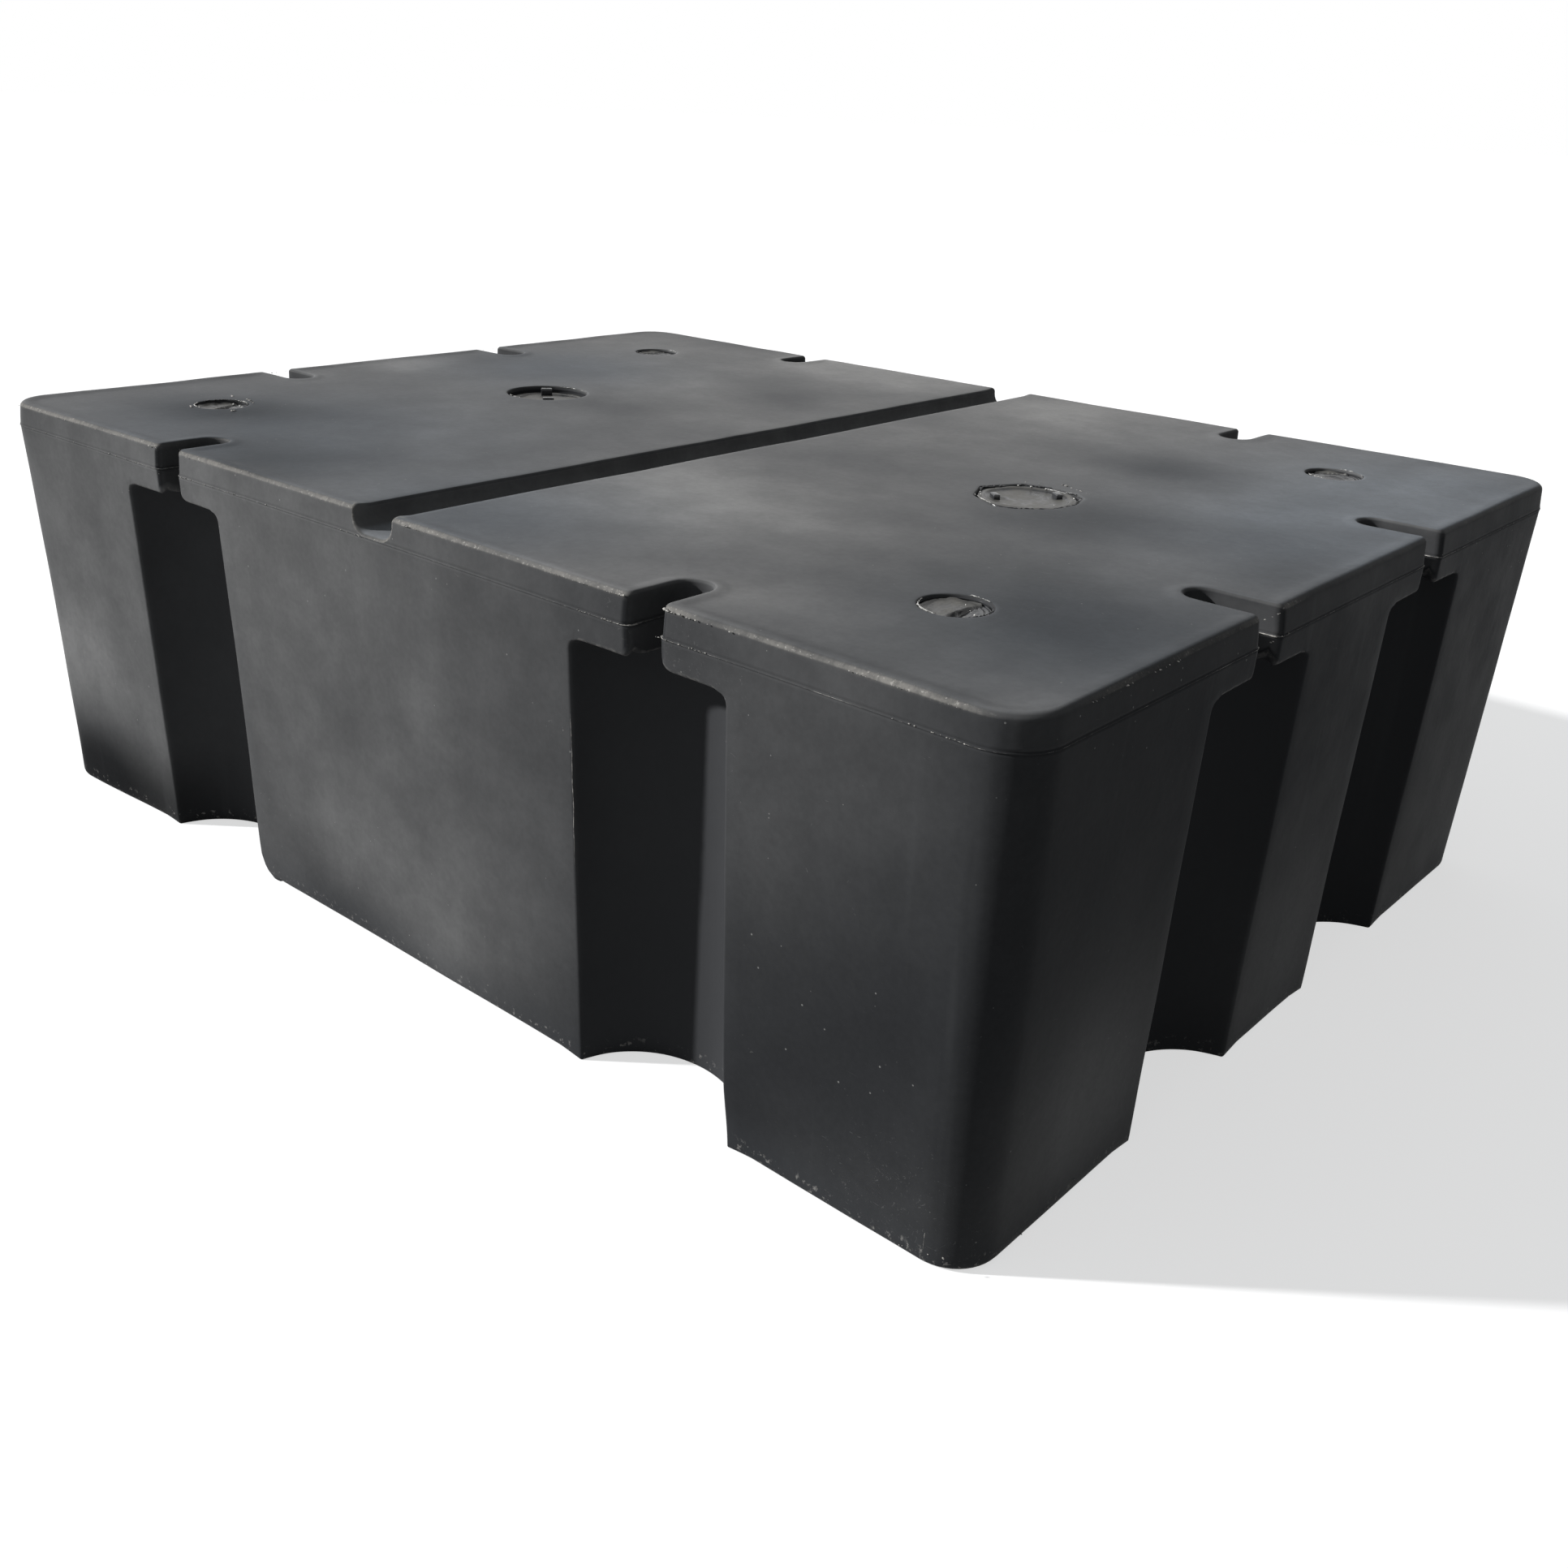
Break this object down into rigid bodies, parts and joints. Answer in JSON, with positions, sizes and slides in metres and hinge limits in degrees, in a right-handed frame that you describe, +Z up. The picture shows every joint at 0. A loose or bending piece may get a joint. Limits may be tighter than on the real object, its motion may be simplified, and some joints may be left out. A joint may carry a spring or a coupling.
{
  "type": "dock float drum",
  "caption": "Flat rectangular dock float of black moulded plastic, with half-round bolt channels and open bolt slots down its sides and a strap groove across its deck",
  "frame": {"origin": "middle of the float's footprint, on the surface that it stands on", "axes": "+X along the length of the float, +Y across it, +Z up through the deck"},
  "size_m": [1.219, 0.914, 0.4],
  "materials": {
    "float_shell": "satin",
    "plug_plastic": "satin"
  },
  "bodies": {
    "root": {"float_body": "float_shell", "fill_plug_left": "plug_plastic", "fill_plug_right": "plug_plastic", "vent_plug_front_left": "plug_plastic", "vent_plug_front_right": "plug_plastic", "vent_plug_back_left": "plug_plastic", "vent_plug_back_right": "plug_plastic"}
  },
  "joints": []
}
